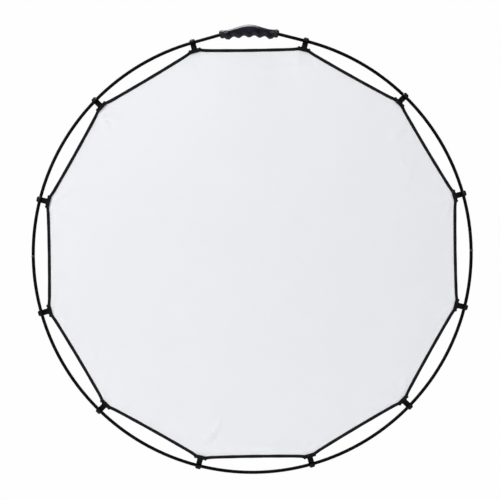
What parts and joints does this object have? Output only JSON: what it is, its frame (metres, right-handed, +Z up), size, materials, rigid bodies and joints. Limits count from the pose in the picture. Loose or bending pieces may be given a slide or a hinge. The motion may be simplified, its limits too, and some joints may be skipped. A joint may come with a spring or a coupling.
{
  "type": "collapsible reflector disc",
  "caption": "Round reflector disc: a white cloth panel held by clips inside a folding black tube hoop, with a hand grip at the top.",
  "frame": {"origin": "centre of the hoop, in the middle of the cloth panel", "axes": "+Z up from the panel's centre to the hand grip, -Y out of the panel's front face, +X to the right when the panel is seen from the front"},
  "size_m": [0.8202, 0.026, 0.8352],
  "materials": {
    "hoop_tube": "black anodised, satin",
    "collar": "moulded, satin",
    "hinge_metal": "black, satin",
    "grip_core": "moulded, matt",
    "grip_shell": "moulded, fine grain",
    "screw": "zinc plated",
    "cloth": "plain weave, matt",
    "cloth_tab": "plain weave, doubled",
    "binding": "woven tape, matt",
    "clip": "moulded, satin"
  },
  "bodies": {
    "upper": {"grip_core": "grip_core", "grip_front_shell": "grip_shell", "grip_back_shell": "grip_shell", "grip_screws": "screw", "collar_left": "collar", "collar_right": "collar", "tube_upper_left": "hoop_tube", "tube_upper_right": "hoop_tube", "hinge_left_upper": "hinge_metal", "hinge_left_pin": "hinge_metal", "hinge_right_upper": "hinge_metal", "hinge_right_pin": "hinge_metal", "panel_upper": "cloth", "binding_upper": "binding"},
    "lower": {"tube_lower_left": "hoop_tube", "tube_lower_right": "hoop_tube", "bottom_spigot": "hoop_tube", "hinge_left_lower": "hinge_metal", "hinge_right_lower": "hinge_metal", "panel_lower": "cloth", "binding_lower": "binding"},
    "clip_01": {"clip_01_hook": "clip", "clip_01_backplate": "clip", "corner_tab_01": "cloth_tab"},
    "clip_02": {"clip_02_hook": "clip", "clip_02_backplate": "clip", "corner_tab_02": "cloth_tab"},
    "clip_03": {"clip_03_hook": "clip", "clip_03_backplate": "clip", "corner_tab_03": "cloth_tab"},
    "clip_04": {"clip_04_hook": "clip", "clip_04_backplate": "clip", "corner_tab_04": "cloth_tab"},
    "clip_05": {"clip_05_hook": "clip", "clip_05_backplate": "clip", "corner_tab_05": "cloth_tab"},
    "clip_06": {"clip_06_hook": "clip", "clip_06_backplate": "clip", "corner_tab_06": "cloth_tab"},
    "clip_07": {"clip_07_hook": "clip", "clip_07_backplate": "clip", "corner_tab_07": "cloth_tab"},
    "clip_08": {"clip_08_hook": "clip", "clip_08_backplate": "clip", "corner_tab_08": "cloth_tab"},
    "clip_09": {"clip_09_hook": "clip", "clip_09_backplate": "clip", "corner_tab_09": "cloth_tab"},
    "clip_10": {"clip_10_hook": "clip", "clip_10_backplate": "clip", "corner_tab_10": "cloth_tab"},
    "clip_11": {"clip_11_hook": "clip", "clip_11_backplate": "clip", "corner_tab_11": "cloth_tab"},
    "clip_12": {"clip_12_hook": "clip", "clip_12_backplate": "clip", "corner_tab_12": "cloth_tab"}
  },
  "joints": [
    {"name": "hoop_fold", "type": "hinge", "parent": "upper", "child": "lower", "pos_m": [0, -0.0053, 0], "axis": [-1, 0, 0], "range_deg": [0, 170]},
    {"name": "clip_01_swivel", "type": "hinge", "parent": "upper", "child": "clip_01", "pos_m": [0.39313, 0, 0.10534], "axis": [-0.2588, 0, 0.9659], "range_deg": [-15, 15]},
    {"name": "clip_02_swivel", "type": "hinge", "parent": "upper", "child": "clip_02", "pos_m": [0.28779, 0, 0.28779], "axis": [-0.7071, 0, 0.7071], "range_deg": [-15, 15]},
    {"name": "clip_03_swivel", "type": "hinge", "parent": "upper", "child": "clip_03", "pos_m": [0.10534, 0, 0.39313], "axis": [-0.9659, 0, 0.2588], "range_deg": [-15, 15]},
    {"name": "clip_04_swivel", "type": "hinge", "parent": "upper", "child": "clip_04", "pos_m": [-0.10534, 0, 0.39313], "axis": [-0.9659, 0, -0.2588], "range_deg": [-15, 15]},
    {"name": "clip_05_swivel", "type": "hinge", "parent": "upper", "child": "clip_05", "pos_m": [-0.28779, 0, 0.28779], "axis": [-0.7071, 0, -0.7071], "range_deg": [-15, 15]},
    {"name": "clip_06_swivel", "type": "hinge", "parent": "upper", "child": "clip_06", "pos_m": [-0.39313, 0, 0.10534], "axis": [-0.2588, 0, -0.9659], "range_deg": [-15, 15]},
    {"name": "clip_07_swivel", "type": "hinge", "parent": "lower", "child": "clip_07", "pos_m": [-0.39313, 0, -0.10534], "axis": [0.2588, 0, -0.9659], "range_deg": [-15, 15]},
    {"name": "clip_08_swivel", "type": "hinge", "parent": "lower", "child": "clip_08", "pos_m": [-0.28779, 0, -0.28779], "axis": [0.7071, 0, -0.7071], "range_deg": [-15, 15]},
    {"name": "clip_09_swivel", "type": "hinge", "parent": "lower", "child": "clip_09", "pos_m": [-0.10534, 0, -0.39313], "axis": [0.9659, 0, -0.2588], "range_deg": [-15, 15]},
    {"name": "clip_10_swivel", "type": "hinge", "parent": "lower", "child": "clip_10", "pos_m": [0.10534, 0, -0.39313], "axis": [0.9659, 0, 0.2588], "range_deg": [-15, 15]},
    {"name": "clip_11_swivel", "type": "hinge", "parent": "lower", "child": "clip_11", "pos_m": [0.28779, 0, -0.28779], "axis": [0.7071, 0, 0.7071], "range_deg": [-15, 15]},
    {"name": "clip_12_swivel", "type": "hinge", "parent": "lower", "child": "clip_12", "pos_m": [0.39313, 0, -0.10534], "axis": [0.2588, 0, 0.9659], "range_deg": [-15, 15]}
  ]
}
